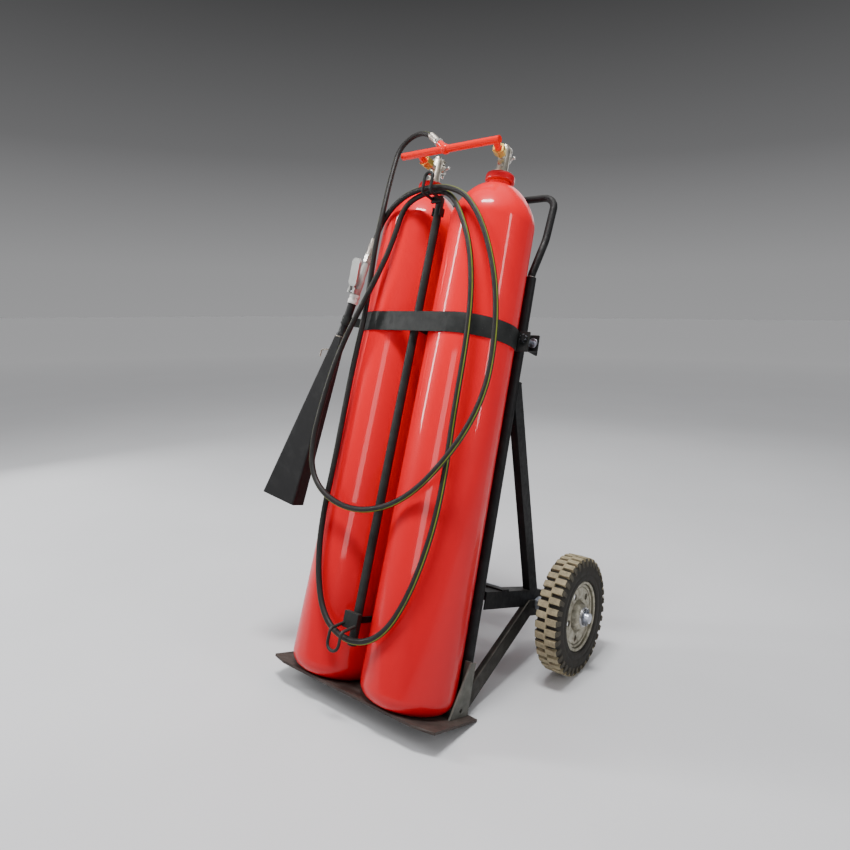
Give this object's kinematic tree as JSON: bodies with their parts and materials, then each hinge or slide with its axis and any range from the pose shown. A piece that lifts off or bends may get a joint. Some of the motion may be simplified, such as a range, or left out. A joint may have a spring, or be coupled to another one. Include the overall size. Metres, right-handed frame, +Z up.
{
  "type": "wheeled fire extinguisher",
  "caption": "Twin red gas cylinders strapped on a leaning two-wheeled trolley, with a valve manifold, a hose wound over hooks, a squeeze discharge valve and a flared horn.",
  "frame": {"origin": "ground level, under the middle of the object's box in X and in Y, the hose and its ferrules left out", "axes": "+Z up; -Y is the front, where the hose and horn are; +X to the right seen from the front; the cylinders lean back 17.5 degrees towards +Y"},
  "size_m": [0.7371, 0.6797, 1.4069],
  "materials": {
    "plate_paint": "satin",
    "gusset_paint": "satin",
    "frame_paint": "satin",
    "zinc_steel": "bright",
    "bearing_steel": "satin",
    "tyre": "matte",
    "rim_paint": "satin",
    "hub_steel": "satin",
    "red_paint": "gloss",
    "dip_tube": "plain",
    "valve_metal": "satin",
    "bright_plating": "bright",
    "brass": "bright",
    "ferrule_steel": "satin",
    "hose_rubber": "matte",
    "horn_plastic": "matte",
    "collar_plastic": "satin",
    "grip_metal": "satin",
    "wire": "satin"
  },
  "bodies": {
    "trolley": {"axle": "zinc_steel", "axle_plates": "frame_paint", "axle_retainers": "zinc_steel", "axle_spacers": "zinc_steel", "bar_clips": "frame_paint", "bottom_hook": "frame_paint", "brace_brackets": "frame_paint", "burst_plugs": "bright_plating", "clamp_strap": "frame_paint", "cross_member": "frame_paint", "cylinder_left": "red_paint", "cylinder_right": "red_paint", "dip_tubes": "dip_tube", "discharge_body": "grip_metal", "hook_blocks": "frame_paint", "horn": "horn_plastic", "horn_holder": "frame_paint", "horn_neck": "horn_plastic", "horn_wire_hook": "wire", "hose": "hose_rubber", "hose_bar": "frame_paint", "hose_ferrules": "ferrule_steel", "hose_unions": "bright_plating", "lever_pin": "zinc_steel", "lower_brace_left": "frame_paint", "lower_brace_right": "frame_paint", "manifold": "red_paint", "neck_collar": "collar_plastic", "neck_rings": "red_paint", "push_handle": "frame_paint", "rail_left": "frame_paint", "rail_right": "frame_paint", "rear_brace_left": "frame_paint", "rear_brace_right": "frame_paint", "saddle_bars": "frame_paint", "side_gussets": "gusset_paint", "side_strut_left": "frame_paint", "side_strut_right": "frame_paint", "strap_fasteners": "zinc_steel", "strap_lugs": "frame_paint", "tie_plates": "frame_paint", "toe_plate": "plate_paint", "top_hook": "frame_paint", "union_nuts": "brass", "valve_body_left": "valve_metal", "valve_body_right": "valve_metal", "valve_yokes": "bright_plating"},
    "wheel_left": {"tyre_left": "tyre", "rim_left": "rim_paint", "hub_left": "hub_steel", "bearings_left": "bearing_steel"},
    "wheel_right": {"tyre_right": "tyre", "rim_right": "rim_paint", "hub_right": "hub_steel", "bearings_right": "bearing_steel"},
    "knob_left": {"valve_knob_left": "bright_plating"},
    "knob_right": {"valve_knob_right": "bright_plating"},
    "lever": {"discharge_lever": "grip_metal"},
    "plunger": {"discharge_plunger": "zinc_steel"}
  },
  "joints": [
    {"name": "wheel_left_roll", "type": "hinge", "parent": "trolley", "child": "wheel_left", "pos_m": [-0.3142, 0.19636, 0.1435], "axis": [1, 0, 0], "continuous": true},
    {"name": "wheel_right_roll", "type": "hinge", "parent": "trolley", "child": "wheel_right", "pos_m": [0.3142, 0.19636, 0.1435], "axis": [1, 0, 0], "continuous": true},
    {"name": "valve_knob_left_turn", "type": "hinge", "parent": "trolley", "child": "knob_left", "pos_m": [-0.1124, 0.22095, 1.30955], "axis": [0, 0.9539, -0.3001], "range_deg": [0, 540]},
    {"name": "valve_knob_right_turn", "type": "hinge", "parent": "trolley", "child": "knob_right", "pos_m": [0.10347, 0.21983, 1.3099], "axis": [-0.2588, 0.9214, -0.2899], "range_deg": [0, 540]},
    {"name": "lever_squeeze", "type": "hinge", "parent": "trolley", "child": "lever", "pos_m": [-0.21669, -0.04972, 0.96071], "axis": [-0.9842, 0.0531, 0.1689], "range_deg": [0, 12], "stiffness_Nm_per_rad": 0.6, "springref_deg": -20.05},
    {"name": "plunger_slide", "type": "slide", "parent": "trolley", "child": "plunger", "axis": [0, 0.9539, -0.3001], "range_m": [0, 0.0034]}
  ],
  "couplings": [
    {"joint": "plunger_slide", "follows": "lever_squeeze", "m_per_rad": 0.016}
  ]
}
